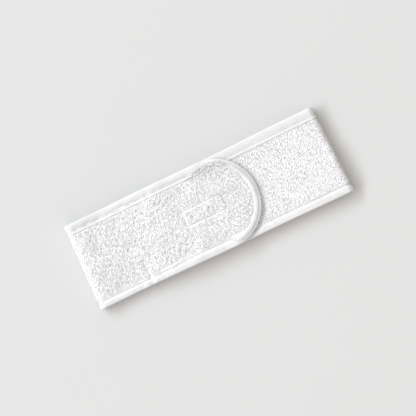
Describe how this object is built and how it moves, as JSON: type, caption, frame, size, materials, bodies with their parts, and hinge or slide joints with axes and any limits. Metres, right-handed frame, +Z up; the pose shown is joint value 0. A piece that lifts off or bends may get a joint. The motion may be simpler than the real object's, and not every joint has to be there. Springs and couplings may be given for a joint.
{
  "type": "sports headband",
  "caption": "Terry sports headband with bound edges and a rounded hook-and-loop end, closed and laid flat.",
  "frame": {"origin": "floor point under the middle of the closed band lying flat", "axes": "+X along the band from the left fold to the right fold, +Y across its width, +Z up"},
  "size_m": [0.275, 0.09, 0.0124],
  "materials": {
    "terry": "looped pile",
    "binding_tape": "matte",
    "thread": "satin",
    "hook_tape": "semi-gloss",
    "loop_tape": "napped"
  },
  "bodies": {
    "back_layer": {"back_terry": "terry", "back_binding_upper": "binding_tape", "back_binding_lower": "binding_tape", "back_seam_upper": "thread", "back_seam_lower": "thread", "left_fold_terry": "terry", "left_fold_binding_upper": "binding_tape", "left_fold_binding_lower": "binding_tape", "left_fold_seam_upper": "thread", "left_fold_seam_lower": "thread", "right_fold_terry": "terry", "right_fold_binding_upper": "binding_tape", "right_fold_binding_lower": "binding_tape", "right_fold_seam_upper": "thread", "right_fold_seam_lower": "thread"},
    "outer_end": {"left_front_terry": "terry", "left_front_binding_upper": "binding_tape", "left_front_binding_lower": "binding_tape", "left_front_seam_upper": "thread", "left_front_seam_lower": "thread"},
    "hook_section": {"closure_terry": "terry", "closure_binding_upper": "binding_tape", "closure_binding_lower": "binding_tape", "closure_seam_upper": "thread", "closure_seam_lower": "thread", "hook_patch": "hook_tape", "hook_patch_stitch": "thread"},
    "finger_tab": {"tip_terry": "terry", "tip_binding": "binding_tape", "tip_seam": "thread"},
    "under_end": {"right_front_terry": "terry", "right_front_binding": "binding_tape", "right_front_seam": "thread", "loop_patch": "loop_tape", "loop_patch_stitch": "thread"}
  },
  "joints": [
    {"name": "left_fold", "type": "hinge", "parent": "back_layer", "child": "outer_end", "pos_m": [-0.13625, 0, 0.0062], "axis": [0, -1, 0], "range_deg": [0, 180], "deforming": ["left_fold_terry", "left_fold_binding_upper", "left_fold_binding_lower", "left_fold_seam_upper", "left_fold_seam_lower"]},
    {"name": "right_fold", "type": "hinge", "parent": "back_layer", "child": "under_end", "pos_m": [0.13625, 0, 0.00475], "axis": [0, 1, 0], "range_deg": [0, 180], "deforming": ["right_fold_terry", "right_fold_binding_upper", "right_fold_binding_lower", "right_fold_seam_upper", "right_fold_seam_lower"]},
    {"name": "closure_peel", "type": "hinge", "parent": "outer_end", "child": "hook_section", "pos_m": [-0.0325, 0, 0.0124], "axis": [0, 1, 0], "range_deg": [-110, 0]},
    {"name": "tip_curl", "type": "hinge", "parent": "hook_section", "child": "finger_tab", "pos_m": [0.0245, 0, 0.0124], "axis": [0, 1, 0], "range_deg": [-66, 0]}
  ],
  "couplings": [
    {"joint": "tip_curl", "follows": "closure_peel", "ratio": 0.6}
  ]
}
